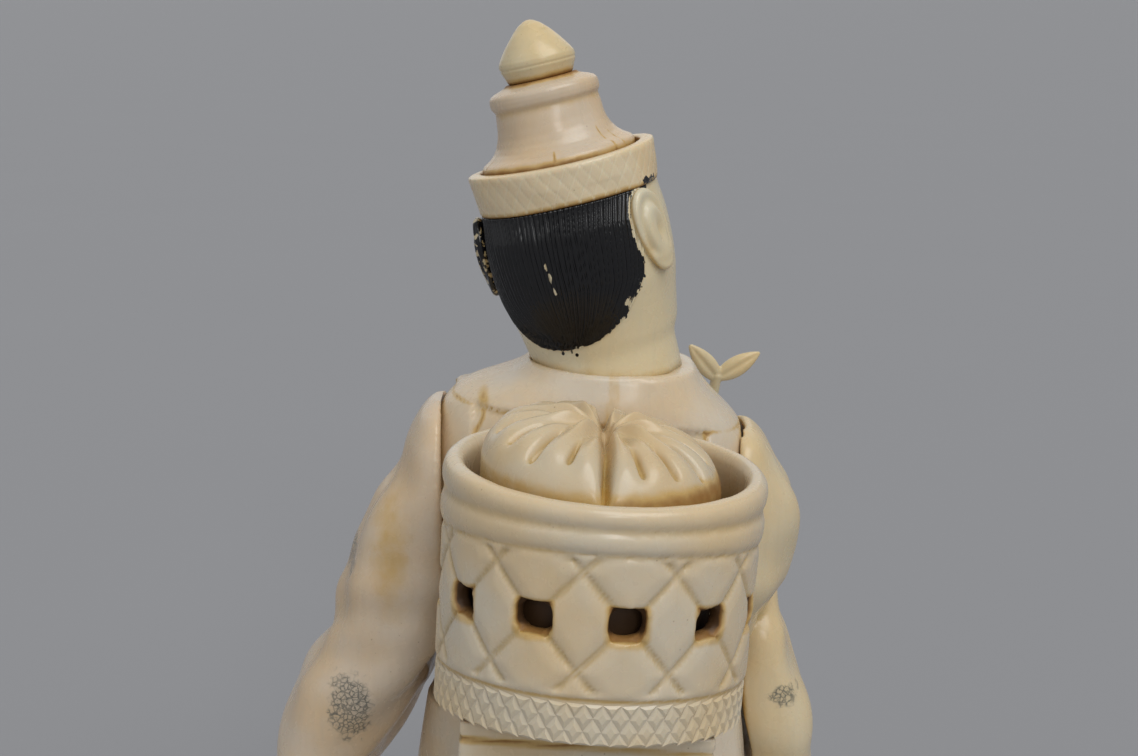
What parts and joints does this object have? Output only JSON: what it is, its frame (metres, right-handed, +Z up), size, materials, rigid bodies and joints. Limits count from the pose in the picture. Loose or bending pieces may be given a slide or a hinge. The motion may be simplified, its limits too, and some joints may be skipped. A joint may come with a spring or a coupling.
{
  "type": "okimono",
  "caption": "Carved standing pedlar in a stepped pointed hat, with bag sleeves and a cleft load in a round basket on the back, on a low oval base.",
  "frame": {"origin": "centre of the base's underside", "axes": "+Z up, -Y the way the figure's chest faces, +X to the figure's left"},
  "size_m": [0.0973, 0.0998, 0.2004],
  "materials": {
    "pale_ivory": "satin, polished carved ivory with brown stain in the joints",
    "warm_ivory": "satin, polished carved ivory of a pinker tone",
    "cream_ivory": "satin, polished carved ivory of a yellower tone",
    "basket_ivory": "satin, polished carved ivory with brown stain in the holes"
  },
  "bodies": {
    "root": {"coat": "pale_ivory", "trousers": "pale_ivory", "left_foot": "pale_ivory", "right_foot": "pale_ivory", "head": "pale_ivory", "base": "pale_ivory", "left_sleeve": "warm_ivory", "right_sleeve": "warm_ivory", "hat_crown": "warm_ivory", "left_hand": "cream_ivory", "right_hand": "cream_ivory", "sprig": "cream_ivory", "hat_band": "cream_ivory", "hat_finial": "cream_ivory", "load": "cream_ivory", "pack_box": "basket_ivory", "basket": "basket_ivory"}
  },
  "joints": []
}
